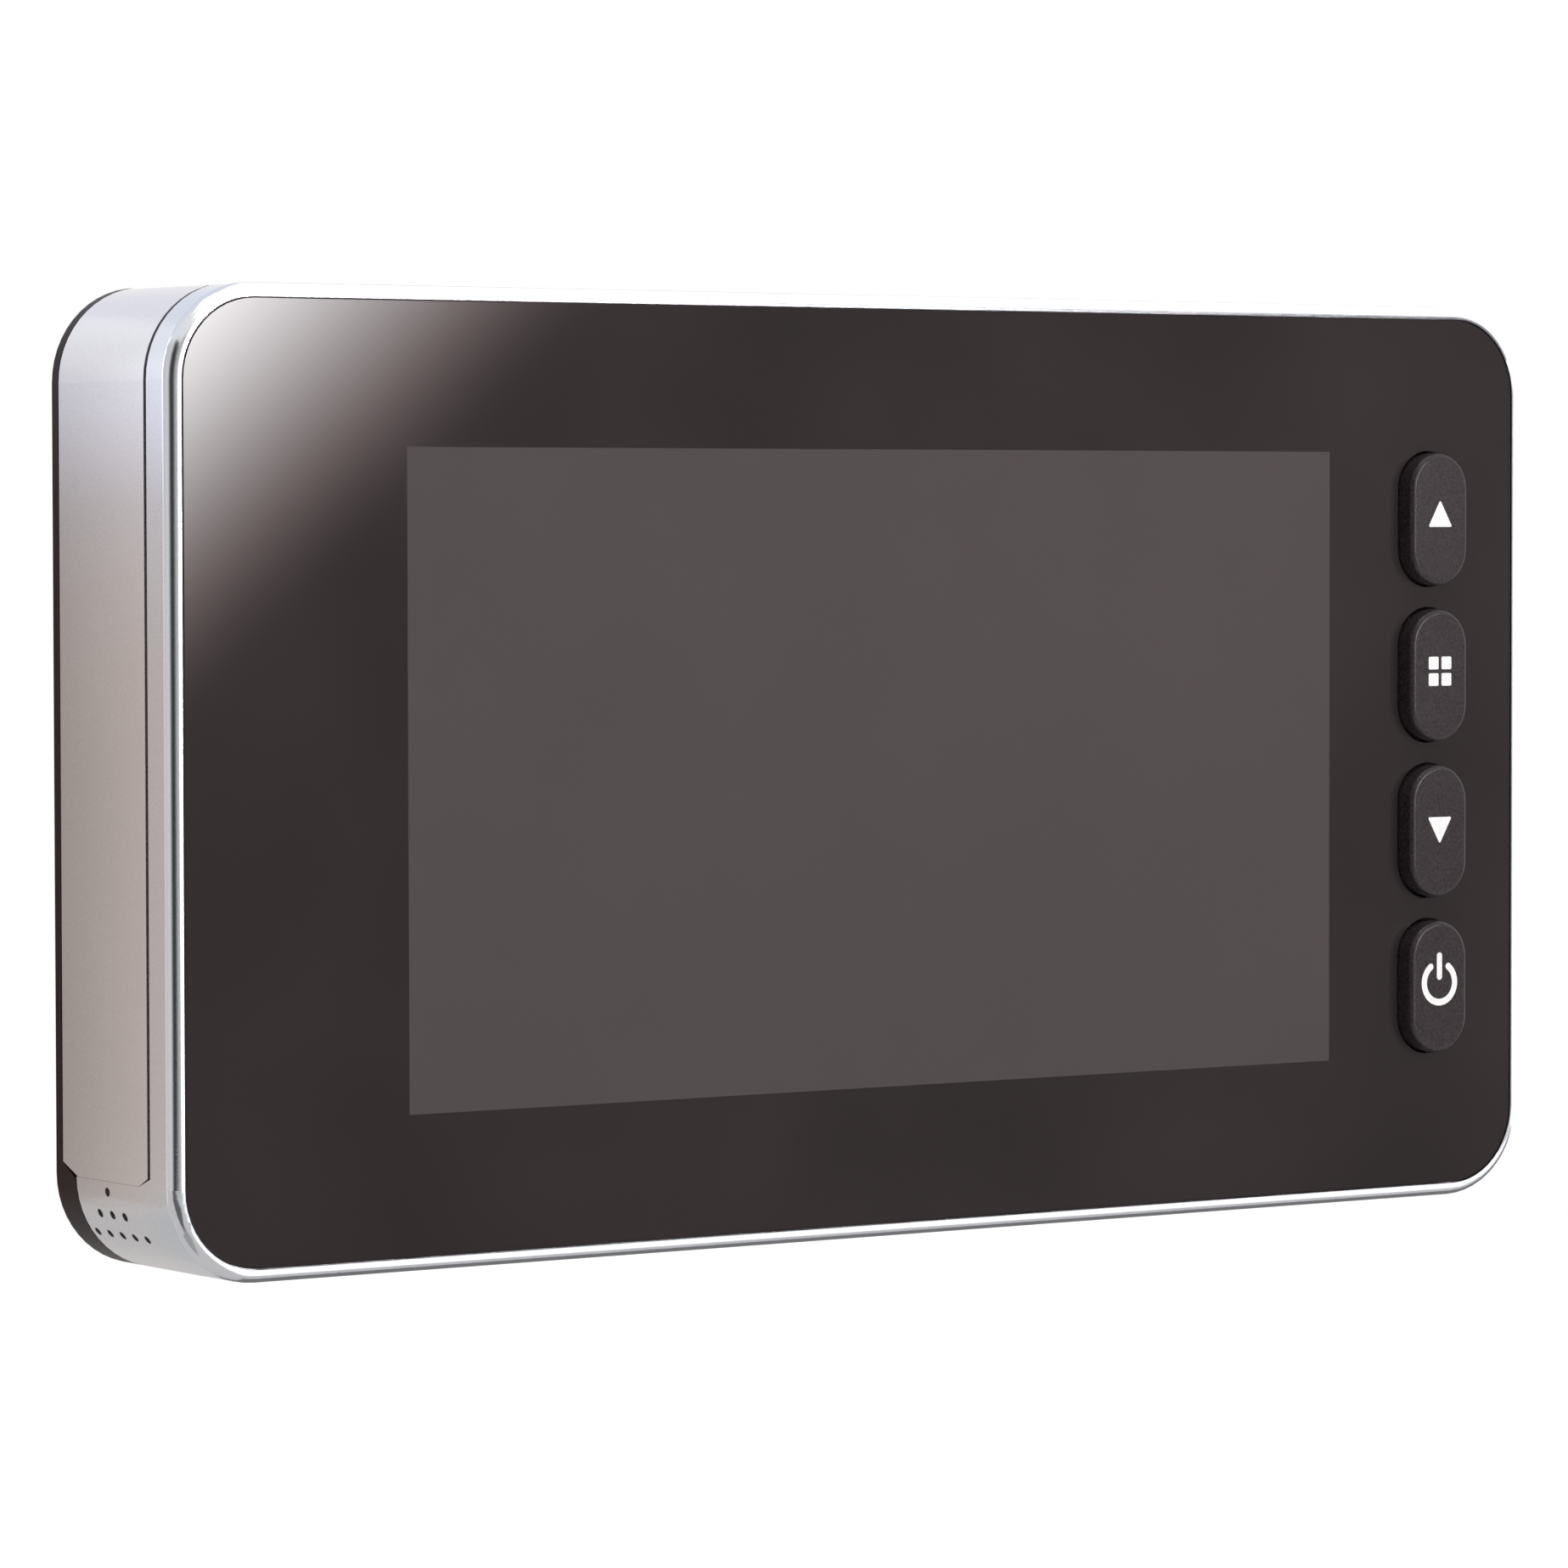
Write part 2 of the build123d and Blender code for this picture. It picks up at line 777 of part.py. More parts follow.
def button_cap(place, mark):
    """Cap that stands through the panel, with its flange and inlay recess."""
    with BuildPart() as cap:
        with BuildSketch(at_depth(flange_back)):
            with Locations(place):
                Rectangle(
                    button_width + 2 * flange_lap,
                    button_height,
                )
        extrude(amount=flange_thickness)
        with BuildSketch(at_depth(flange_back - flange_thickness)):
            with Locations(place):
                SlotOverall(button_height, button_width, rotation=90)
        extrude(amount=flange_back - flange_thickness + button_stand)
        fillet(cap.faces().sort_by(Axis.Y)[0].edges(), button_edge)
        extrude(mark, amount=icon_depth, mode=Mode.SUBTRACT)
    return cap


def button_stem(place):
    """Stem of the switch, pushed by the cap."""
    with BuildPart() as stem:
        with BuildSketch(at_depth(switch_depth + stem_reach)):
            with Locations(place):
                Circle(stem_radius)
        extrude(amount=switch_depth + stem_reach - flange_back)
    return stem


def button_inlay(mark):
    """White inlay, flush in the cap's face."""
    with BuildPart() as inlay:
        extrude(mark, amount=icon_depth)
    return inlay


up_place, menu_place, down_place, power_place = button_places
button_marks = {
    "up": (up_place, triangle(up_place, 1, up_lift)),
    "menu": (menu_place, grid(menu_place)),
    "down": (down_place, triangle(down_place, -1, down_lift)),
    "power": (power_place, power_mark(power_place)),
}
for button_name, (place, mark) in button_marks.items():
    save(button_cap(place, mark), f"{button_name}_button")
    save(button_stem(place), f"{button_name}_stem")
    save(button_inlay(mark), f"{button_name}_inlay")


def battery_tray(hand):
    """Tray for two cells, open to the outside; hand is -1 for the left one."""
    middle = hand * (tray_inner_x + tray_outer_x) / 2
    bay_inner = tray_inner_x + tray_wall
    tray_height = 2 * (bay_half + tray_wall)
    with BuildPart() as tray:
        with BuildSketch(at_depth(rear_inner)):
            with Locations((middle, 0)):
                Rectangle(tray_outer_x - tray_inner_x, tray_height)
        extrude(amount=rear_inner - tray_front)
        with BuildSketch(at_depth(rear_inner)):
            with Locations((hand * (bay_inner + case_width / 2), 0)):
                Rectangle(case_width, 2 * bay_half)
        extrude(amount=rear_inner - tray_front - tray_wall, mode=Mode.SUBTRACT)
    return tray


def cell(x, way):
    """Round cell with its raised end up for a way of 1, down for -1."""
    y = cell_depth - door_depth
    can_length = cell_length - cell_nub_height
    with BuildPart() as can:
        with BuildSketch(Plane.XY.offset(-way * cell_length / 2)):
            with Locations((x, y)):
                Circle(cell_radius)
        extrude(amount=way * can_length)
        fillet(can.edges().filter_by(GeomType.CIRCLE), cell_edge)
        with BuildSketch(Plane.XY.offset(way * (cell_length / 2 - cell_nub_height))):
            with Locations((x, y)):
                Circle(cell_nub_radius)
        extrude(amount=way * cell_nub_height)
    return can


def battery_contacts(hand):
    """Four pressed contacts, one at each end of both cells."""
    with BuildPart() as contacts:
        for x in (hand * cell_inner_x, hand * cell_outer_x):
            for way in (-1, 1):
                with BuildSketch(Plane.XY.offset(way * bay_half)):
                    with Locations((x, cell_depth - door_depth)):
                        Rectangle(contact_width, contact_width)
                extrude(amount=-way * contact_sheet)
                with BuildSketch(Plane.XY.offset(way * (bay_half - contact_sheet))):
                    with Locations((x, cell_depth - door_depth)):
                        Circle(contact_boss_radius)
                extrude(amount=-way * (contact_height - contact_sheet))
    return contacts


for hand_name, hand in (("left", -1), ("right", 1)):
    save(battery_tray(hand), f"{hand_name}_battery_tray")
    save(battery_contacts(hand), f"{hand_name}_battery_contacts")
    save(cell(hand * cell_outer_x, 1), f"{hand_name}_outer_cell")
    save(cell(hand * cell_inner_x, -1), f"{hand_name}_inner_cell")

# Battery cover: silver arch over the top and both sides
with BuildPart() as battery_cover:
    with BuildSketch(at_depth(cover_back)):
        RectangleRounded(case_width, case_height, corner_radius)
        RectangleRounded(inner_width, inner_height, inner_radius, mode=Mode.SUBTRACT)
    extrude(amount=cover_back - cover_front)
    with BuildSketch(Plane.YZ):
        with BuildLine():
            Polyline(
                side(cover_front - overrun, foot_z + foot_front_rise),
                side(cover_front, foot_z + foot_front_rise),
                side(cover_front + foot_front_run, foot_z),
                side(cover_back - foot_rear_run, foot_z),
                side(cover_back, foot_z + foot_rear_rise),
                side(cover_back + overrun, foot_z + foot_rear_rise),
                side(cover_back + overrun, -case_height),
                side(cover_front - overrun, -case_height),
                close=True,
            )
        make_face()
    extrude(amount=case_width, both=True, mode=Mode.SUBTRACT)

# Rear housing: black tray with the bracket recess, hook slots and posts
recess_top = bracket_height / 2 + recess_gap
recess_bottom = -bracket_height / 2 - lift_travel - recess_gap
recess_height = recess_top - recess_bottom
recess_z = (recess_top + recess_bottom) / 2
recess_width = bracket_width + 2 * recess_gap
window_height = bracket_height - 2 * ribbon_window_margin + lift_travel
window_z = -lift_travel / 2
slot_height = lift_travel + bracket_sheet
with BuildPart() as rear_housing:
    with BuildSketch(at_depth(case_depth)):
        RectangleRounded(case_width, case_height, corner_radius)
    extrude(amount=case_depth - step_depth)
    chamfer(rear_housing.faces().sort_by(Axis.Y)[-1].edges(), rear_edge)

    with BuildSketch(at_depth(rear_inner)):
        RectangleRounded(inner_width, inner_height, inner_radius)
    extrude(amount=rear_inner - step_depth, mode=Mode.SUBTRACT)

    with BuildSketch(Plane.YZ):
        with BuildLine():
            Polyline(
                side(step_depth - overrun, case_height),
                side(step_depth - overrun, foot_z - foot_step),
                side(step_depth, foot_z - foot_step),
                side(band_front, foot_z + foot_rear_rise),
                side(band_front, case_height),
                close=True,
            )
        make_face()
    extrude(amount=case_width, both=True, mode=Mode.SUBTRACT)

    with BuildSketch(at_depth(rear_inner)):
        RectangleRounded(lip_width, lip_height, lip_radius)
        RectangleRounded(
            lip_width - 2 * lip_wall,
            lip_height - 2 * lip_wall,
            lip_radius - lip_wall,
            mode=Mode.SUBTRACT,
        )
        with Locations((0, foot_z)):
            Rectangle(
                case_width,
                case_height,
                align=(Align.CENTER, Align.MAX),
                mode=Mode.SUBTRACT,
            )
    extrude(amount=lip_depth)

    with BuildSketch(at_depth(rear_inner)):
        with Locations((0, recess_z)):
            Rectangle(recess_width + 2 * recess_wall, recess_height + 2 * recess_wall)
    extrude(amount=rear_inner - floor_front)
    with BuildSketch(at_depth(case_depth)):
        with Locations((0, recess_z)):
            RectangleRounded(recess_width, recess_height, bracket_radius + recess_gap)
    extrude(amount=case_depth - floor_back, mode=Mode.SUBTRACT)

    with BuildSketch(at_depth(floor_back)):
        with Locations((0, window_z)):
            RectangleRounded(ribbon_window_width, window_height, ribbon_window_radius)
        for hook_z in (hook_top, hook_bottom):
            with Locations((-hook_x, hook_z), (hook_x, hook_z)):
                Rectangle(
                    hook_width + 2 * hook_side_gap,
                    slot_height,
                    align=(Align.CENTER, Align.MAX),
                )
    extrude(amount=recess_wall, mode=Mode.SUBTRACT)

    with BuildSketch(at_depth(rear_inner)):
        with Locations(*four(post_x, post_z)):
            Circle(post_radius)
    extrude(amount=rear_inner - post_meet)
    with BuildSketch(at_depth(case_depth)):
        with Locations(*four(post_x, post_z)):
            Circle(case_screw_radius + case_screw_gap)
    extrude(amount=case_depth - post_meet, mode=Mode.SUBTRACT)
    with BuildSketch(at_depth(case_depth)):
        with Locations(*four(post_x, post_z)):
            Circle(case_head_radius + case_screw_gap)
    extrude(amount=case_head_seat, mode=Mode.SUBTRACT)

    with BuildSketch(at_depth(case_depth)):
        with Locations(*four(foot_pad_x, case_height / 2 - foot_pad_inset_z)):
            Circle(foot_pad_radius)
    extrude(amount=foot_pad_sink, mode=Mode.SUBTRACT)

# Screws that hold the rear housing to the bezel
head_front = case_depth - case_head_seat
with BuildPart() as case_screws:
    with BuildSketch(at_depth(head_front + case_head_height)):
        with Locations(*four(post_x, post_z)):
            Circle(case_head_radius)
    extrude(amount=case_head_height)
    with BuildSketch(at_depth(head_front)):
        with Locations(*four(post_x, post_z)):
            Circle(case_screw_radius)
    extrude(amount=head_front - post_meet + case_screw_reach)
    with BuildSketch(at_depth(head_front + case_head_height)):
        with Locations(*four(post_x, post_z)):
            Rectangle(cross_length, cross_width)
            Rectangle(cross_width, cross_length)
    extrude(amount=cross_depth, mode=Mode.SUBTRACT)

# Thin rubber pads that rest the case on the door
with BuildPart() as rear_pads:
    with BuildSketch(at_depth(door_depth)):
        with Locations(*four(foot_pad_x, case_height / 2 - foot_pad_inset_z)):
            Circle(foot_pad_radius)
    extrude(amount=foot_pad_sink + door_gap)

# Wall bracket: steel plate with the barrel bore, screw holes and four hooks
hook_reach = bracket_clearance + recess_wall + bracket_clearance + bracket_sheet
with BuildPart() as wall_bracket:
    with BuildSketch(at_depth(door_depth)):
        RectangleRounded(bracket_width, bracket_height, bracket_radius)
        Circle(barrel_radius, mode=Mode.SUBTRACT)
        with GridLocations(screw_spacing_x, screw_spacing_z, 2, 2):
            Circle(screw_hole_radius, mode=Mode.SUBTRACT)
    extrude(amount=bracket_sheet)
    hook_root = door_depth - bracket_sheet
    for hook_z in (hook_top, hook_bottom):
        with BuildSketch(at_depth(hook_root)):
            with Locations((-hook_x, hook_z), (hook_x, hook_z)):
                Rectangle(hook_width, bracket_sheet, align=(Align.CENTER, Align.MAX))
        extrude(amount=hook_reach)
        with BuildSketch(at_depth(hook_root - hook_reach + bracket_sheet)):
            with Locations((-hook_x, hook_z), (hook_x, hook_z)):
                Rectangle(hook_width, hook_height, align=(Align.CENTER, Align.MIN))
        extrude(amount=bracket_sheet)

save(front_bezel, "front_bezel")
save(front_panel, "front_panel")
save(screen_window, "screen_window")
save(panel_tape, "panel_tape")
save(lcd_gasket, "lcd_gasket")
save(lcd_glass, "lcd_glass")
save(lcd_backlight, "lcd_backlight")
save(lcd_frame, "lcd_frame")
save(lcd_pads, "lcd_pads")
save(lcd_flex, "lcd_flex")
save(lcd_connector, "lcd_connector")
save(main_board, "main_board")
save(board_screws, "board_screws")
save(shield_can, "shield_can")
save(board_chips, "board_chips")
save(camera_connector, "camera_connector")
save(usb_socket, "usb_socket")
save(card_socket, "card_socket")
save(memory_card, "memory_card")
save(microphone, "microphone")
save(microphone_boot, "microphone_boot")
save(speaker_frame, "speaker_frame")
save(speaker_cone, "speaker_cone")
save(speaker_magnet, "speaker_magnet")
save(button_board, "button_board")
save(switch_bodies, "switch_bodies")
save(battery_cover, "battery_cover")
save(rear_housing, "rear_housing")
save(case_screws, "case_screws")
save(rear_pads, "rear_pads")
save(wall_bracket, "wall_bracket")
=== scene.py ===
import json
from math import cos, radians, sin, sqrt, tan

import bpy
from mathutils import Matrix, Vector

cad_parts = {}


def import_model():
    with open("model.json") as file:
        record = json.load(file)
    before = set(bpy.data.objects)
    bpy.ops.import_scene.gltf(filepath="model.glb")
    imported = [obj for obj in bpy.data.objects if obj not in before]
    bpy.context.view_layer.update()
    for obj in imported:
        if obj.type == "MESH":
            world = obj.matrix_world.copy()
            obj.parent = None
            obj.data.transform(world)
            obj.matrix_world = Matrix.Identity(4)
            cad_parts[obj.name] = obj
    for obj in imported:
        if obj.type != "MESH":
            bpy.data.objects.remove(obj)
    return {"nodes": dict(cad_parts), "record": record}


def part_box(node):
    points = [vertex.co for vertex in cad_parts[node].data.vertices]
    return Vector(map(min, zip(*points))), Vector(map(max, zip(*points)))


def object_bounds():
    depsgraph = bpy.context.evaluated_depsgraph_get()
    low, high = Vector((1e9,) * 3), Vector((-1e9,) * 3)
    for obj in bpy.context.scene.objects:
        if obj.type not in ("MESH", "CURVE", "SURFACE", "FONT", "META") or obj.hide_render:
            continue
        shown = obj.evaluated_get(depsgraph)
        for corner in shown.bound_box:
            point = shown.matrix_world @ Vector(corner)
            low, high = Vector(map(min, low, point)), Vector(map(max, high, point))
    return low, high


# The looks of a door viewer's indoor monitor: finishes, studio light, floor and camera.
# Everything is in metres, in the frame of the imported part.

MM = 0.001
WHITE = (1.0, 1.0, 1.0, 1.0)
BLACK = (0.0, 0.0, 0.0, 1.0)

QUARTER_TURN = 90.0

# Places along a ramp or a card, from 0 to 1, and how fine a noise is
DARK_STOP = 0.3
MIDDLE = 0.5
LIGHT_STOP = 0.7
NOISE_DETAIL = 2.0
FINE_DETAIL = 3.0

# Moulded finishes: grain is its width, contrast its change of colour, relief its height
PLAIN_FINISH = {
    "grain": 0.25 * MM,
    "contrast": 0.12,
    "relief": 0.006 * MM,
    "roughness": 0.5,
    "specular": 0.5,
}
RUBBER_FINISH = {
    "grain": 0.35 * MM,
    "contrast": 0.25,
    "relief": 0.02 * MM,
    "roughness": 0.75,
    "specular": 0.3,
}
KEY_COLOUR = (0.031, 0.0235, 0.026)
KEY_FINISH = {
    "grain": 0.22 * MM,
    "contrast": 0.5,
    "relief": 0.014 * MM,
    "roughness": 0.26,
    "specular": 0.19,
}
HOUSING_COLOUR = (0.0275, 0.0135, 0.0115)
HOUSING_FINISH = {
    "grain": 0.3 * MM,
    "contrast": 0.3,
    "relief": 0.006 * MM,
    "roughness": 0.4,
    "specular": 0.13,
}

# Silver paint: flakes and slow clouds, polished on the rim. On the bezel the colour turns
# cooler towards the front, a painted reflection of cool light
SILVER = (0.775, 0.757, 0.765)
PAINTED_REFLECTION_SILVER = (0.725, 0.745, 0.785)
SILVER_FLAKE = 0.16 * MM
SILVER_FLAKE_SHARE = 0.8
SILVER_CLOUD = 9 * MM
SILVER_CLOUD_SHARE = 0.2
SILVER_DARKEST = 0.93
SILVER_REFLECTION_TINT_DEPTH = 10 * MM
SILVER_REFLECTION_TINT_START_SHARE = 0.25
SILVER_REFLECTION_TINT_END_SHARE = 0.6
SILVER_METALLIC = 0.95
SILVER_ROUGHNESS = 0.22
SILVER_FLAKE_ROUGHNESS = 0.08
SILVER_RELIEF = 0.004 * MM
RIM_DEPTH = 1.3 * MM
RIM_POLISH = 0.14

# Gloss black panel
PANEL_COLOUR = (0.035, 0.0285, 0.0295)
PANEL_CLOUD = 30 * MM
PANEL_CONTRAST = 0.15
PANEL_ROUGHNESS = 0.03
PANEL_IOR = 1.42
PANEL_SPECULAR = 0.4

# Screen
SCREEN_COLOUR = (0.067, 0.055, 0.055)
SCREEN_CLOUD = 22 * MM
SCREEN_CONTRAST = 0.03
SCREEN_ROUGHNESS = 0.5
SCREEN_SPECULAR = 0.1

# Brushed steel
STREAK_WIDTH = 0.12 * MM
STREAK_STRETCH = (0.02, 1.0, 1.0)
STREAK_DARKEST = 0.82
STREAK_LIGHTEST = 1.1
STEEL_ROUGHNESS = 0.24
STEEL_STREAK_ROUGHNESS = 0.2
STEEL_RELIEF = 0.006 * MM

# Cells: sleeve colour between two bands, then bare steel at the ends
CELL_END = 1.6 * MM
CELL_BAND = 5.0 * MM
CELL_BAND_STOP = 0.4
CELL_BAND_COLOUR = (0.5, 0.36, 0.12, 1.0)
CELL_STEEL_STOP = 0.8
CELL_STEEL = (0.6, 0.6, 0.6, 1.0)
CELL_GRAIN = 0.2 * MM
CELL_DARKEST = 0.85
CELL_METALLIC = 0.7
CELL_ROUGHNESS = 0.3
CELL_RELIEF = 0.003 * MM

# Circuit boards
TRACK_PITCH = 2.4 * MM
TRACK_GAP = 0.03
BOARD_DARKEST = 0.9
BOARD_LIGHTEST = 1.1
TRACK_TONE = 1.7
BOARD_ROUGHNESS = 0.3
BOARD_RELIEF = 0.02 * MM

# Camera
CAMERA_PLACE = Vector((-330.7, -488.42, 20.75)) * MM
CAMERA_TURN = -34.329
CAMERA_DIP = 2.216
CAMERA_ROLL = -0.107
CAMERA_LENS = 155.803
CAMERA_SENSOR = 36.0
CAMERA_NEAREST = 0.01
CAMERA_FARTHEST = 50.0

# Studio
FLOOR_DROP = 45 * MM
FLOOR_SIZE = 0.34
FLOOR_COLOUR = (0.6, 0.6, 0.6, 1.0)
FLOOR_ROUGHNESS = 0.9
FLOOR_GLOW = 0.7
FLOOR_GLOSS_GLOW = 0.27
WORLD_FILL = 0.5
FILL_COLOUR = (1.0, 0.94, 0.91, 1.0)
LAMP_PLACE = Vector((-0.3, -0.8, 3.0))
LAMP_SIZE = 1.5
LAMP_POWER = 17.0

# Front softbox, whose lower right edge fades out in the panel's gloss.
# Its middle and its fade are directions from the camera's mirror image, in degrees.
SOFTBOX_DISTANCE = 5.0
SOFTBOX_TURN = 30.74
SOFTBOX_RISE = 4.19
SOFTBOX_SLANT = -45.0
SOFTBOX_HALF_LENGTH = 5.5
SOFTBOX_HALF_WIDTH = 3.2
SOFTBOX_FADE_START = -31.07
SOFTBOX_FADE_SPAN = 3.6
SOFTBOX_FADE_POWER = 2.0
SOFTBOX_PEAK = 40.0
SOFTBOX_TINTS = [
    (0.25, (1.0, 0.78, 0.78, 1.0)),
    (0.5, (1.0, 0.91, 0.91, 1.0)),
    (0.75, (1.0, 0.97, 0.98, 1.0)),
]

# Cards that gloss and metal reflect: turn and rise of the middle and half sizes, all in
# degrees, then the distance in metres and the strength
FRONT_CARD = (5.5, 2.0, 18.5, 22.0, 4.0, 3.0)
TOP_CARD = (60.0, 52.0, 50.0, 34.0, 4.0, 1.6)
RIGHT_CARD = (105.0, 0.0, 48.0, 25.0, 4.0, 1.5)
RIGHT_FLAG = (40.0, 0.0, 14.0, 13.0, 6.0, 1.0)
RIGHT_FLAG_STOPS = [(0.0, 0.3), (0.46, 0.16), (0.68, 0.2), (0.86, 0.03), (1.0, 0.0)]
FRONT_VEIL = (-10.0, 0.0, 12.0, 24.0, 3.8, 1.0)
FRONT_VEIL_STOPS = [(0.0, 1.1), (0.35, 0.6), (1.0, 0.45)]
BACK_CARD = (-166.0, 42.0, 30.0, 32.0, 4.0, 1.0)
BACK_CARD_COLOUR = (0.9, 0.93, 1.03, 1.0)

# Dark screen on the left, which draws the dark line along the rim: places run from its
# front edge to its back edge
LEFT_SCREEN = (-80.0, -5.0, 60.0, 40.0, 5.0, 1.0)
LEFT_SCREEN_STOPS = [
    (0.0, 0.45),
    (0.13, 0.28),
    (0.22, 0.1),
    (0.27, 0.02),
    (0.385, 0.02),
    (0.435, 0.2),
    (0.48, 0.62),
    (0.53, 0.8),
    (0.75, 0.72),
    (1.0, 0.68),
]

# Cards near the floor: lowest and highest X and Y in metres, then the strength
FLOOR_CARDS = {
    "front_floor_card": (-0.045, 0.26, -0.24, -0.048, 1.5),
    # The dark card under and behind the part is a painted shadow: it stands in for the part's
    # shadow on the floor as gloss and metal reflect it
    "painted_shadow_floor_card": (-0.049, 0.26, -0.024, 0.045, 0.2),
    "left_floor_card": (-0.34, -0.112, -0.19, -0.06, 0.12),
    "corner_floor_card": (-0.112, -0.084, -0.095, -0.03, 0.4),
    "rear_floor_card": (-0.13, -0.052, 0.03, 0.12, 0.6),
}
FLOOR_CARD_RISE = 0.004

# Grey card close to the left side, cool at the top and brighter towards the front.
# The gain is one at its middle and grows by SIDE_CARD_GAIN for each metre towards the front.
# Its least value grows towards the top and, more steeply, towards the lower end.
SIDE_CARD_PLACE = Vector((-86.3, 20.7, 7.5)) * MM
SIDE_CARD_AWAY = Vector((-0.48, 0.88, 0.0))
SIDE_CARD_HALF_WIDTH = 20 * MM
SIDE_CARD_HALF_HEIGHT = 52.5 * MM
SIDE_CARD_GAIN = 56.0
SIDE_CARD_LEAST = 0.6
SIDE_CARD_TOP_GROWTH = 1.6
SIDE_CARD_TOP_DROP = 0.38
SIDE_CARD_END_GROWTH = 4.0
SIDE_CARD_STOPS = [
    (0.0, (0.54, 0.49, 0.465, 1.0)),
    (0.15, (0.48, 0.42, 0.387, 1.0)),
    (0.45, (0.472, 0.412, 0.378, 1.0)),
    (0.54, (0.497, 0.434, 0.407, 1.0)),
    (0.64, (0.535, 0.497, 0.494, 1.0)),
    (0.72, (0.78, 0.78, 0.87, 1.0)),
    (0.8, (0.92, 0.94, 1.0, 1.0)),
]


def shader_nodes(name):
    """New material with its node tree and its Principled shader."""
    material = bpy.data.materials.new(name)
    material.use_nodes = True
    tree = material.node_tree
    return material, tree, tree.nodes["Principled BSDF"]


def surface_point(tree):
    """Socket with the surface point in the object's own frame, in metres."""
    return tree.nodes.new("ShaderNodeTexCoord").outputs["Object"]


def separated(tree):
    """X, Y and Z sockets of the surface point."""
    parts = tree.nodes.new("ShaderNodeSeparateXYZ")
    tree.links.new(surface_point(tree), parts.inputs["Vector"])
    return parts.outputs


def noise(tree, grain, detail=NOISE_DETAIL, stretch=(1.0, 1.0, 1.0)):
    """Noise whose features are about one grain wide, from 0 to 1."""
    mapping = tree.nodes.new("ShaderNodeMapping")
    mapping.inputs["Scale"].default_value = stretch
    tree.links.new(surface_point(tree), mapping.inputs["Vector"])
    texture = tree.nodes.new("ShaderNodeTexNoise")
    texture.inputs["Scale"].default_value = 1 / grain
    texture.inputs["Detail"].default_value = detail
    tree.links.new(mapping.outputs["Vector"], texture.inputs["Vector"])
    return texture.outputs["Fac"]


def ramp(tree, value, stops):
    """Colours between the stops, each a place from 0 to 1 and a colour."""
    node = tree.nodes.new("ShaderNodeValToRGB")
    while len(node.color_ramp.elements) < len(stops):
        node.color_ramp.elements.new(MIDDLE)
    for element, (place, colour) in zip(node.color_ramp.elements, stops):
        element.position = place
        element.color = colour
    tree.links.new(value, node.inputs["Fac"])
    return node.outputs["Color"]


def shade(colour, factor):
    """Colour made lighter or darker by a factor."""
    return (*[min(1.0, part * factor) for part in colour[:3]], 1.0)


def tones(tree, value, colour, darkest, lightest):
    """Shades of one colour, from the low values of a noise to the high ones."""
    stops = [(DARK_STOP, shade(colour, darkest)), (LIGHT_STOP, shade(colour, lightest))]
    return ramp(tree, value, stops)


def calculated(tree, operation, first, second):
    """Result of one sum; each side is a socket or a number."""
    node = tree.nodes.new("ShaderNodeMath")
    node.operation = operation
    for socket, value in zip(node.inputs, (first, second)):
        if isinstance(value, (int, float)):
            socket.default_value = value
        else:
            tree.links.new(value, socket)
    return node.outputs["Value"]


def weighed(tree, value, factor, start):
    """A value times a factor, added to a start."""
    return calculated(tree, "ADD", calculated(tree, "MULTIPLY", value, factor), start)


def multiplied(tree, first, second):
    """Product of two colours."""
    mix = tree.nodes.new("ShaderNodeMixRGB")
    mix.blend_type = "MULTIPLY"
    mix.inputs["Fac"].default_value = 1.0
    tree.links.new(first, mix.inputs["Color1"])
    tree.links.new(second, mix.inputs["Color2"])
    return mix.outputs["Color"]


def bump(tree, shader, height, distance):
    """Surface relief from a height socket."""
    node = tree.nodes.new("ShaderNodeBump")
    node.inputs["Distance"].default_value = distance
    tree.links.new(height, node.inputs["Height"])
    tree.links.new(node.outputs["Normal"], shader.inputs["Normal"])


def grained(name, colour, grain, contrast, relief, roughness, specular):
    """Moulded finish with a fine grain in colour and relief."""
    material, tree, shader = shader_nodes(name)
    speck = noise(tree, grain)
    specks = tones(tree, speck, colour, 1 - contrast, 1 + contrast)
    tree.links.new(specks, shader.inputs["Base Color"])
    shader.inputs["Roughness"].default_value = roughness
    shader.inputs["Specular IOR Level"].default_value = specular
    bump(tree, shader, speck, relief)
    return material


def plain(name, colour):
    """Plain moulded finish of the pieces with no look of their own."""
    return grained(name, colour, **PLAIN_FINISH)


def rubber(name, colour):
    """Matt rubber with a coarse grain."""
    return grained(name, colour, **RUBBER_FINISH)


def key_plastic():
    """Charcoal of the keys, with a lively grain."""
    return grained("charcoal", KEY_COLOUR, **KEY_FINISH)


def housing_plastic():
    """Brownish black of the rear shell."""
    return grained("housing", HOUSING_COLOUR, **HOUSING_FINISH)


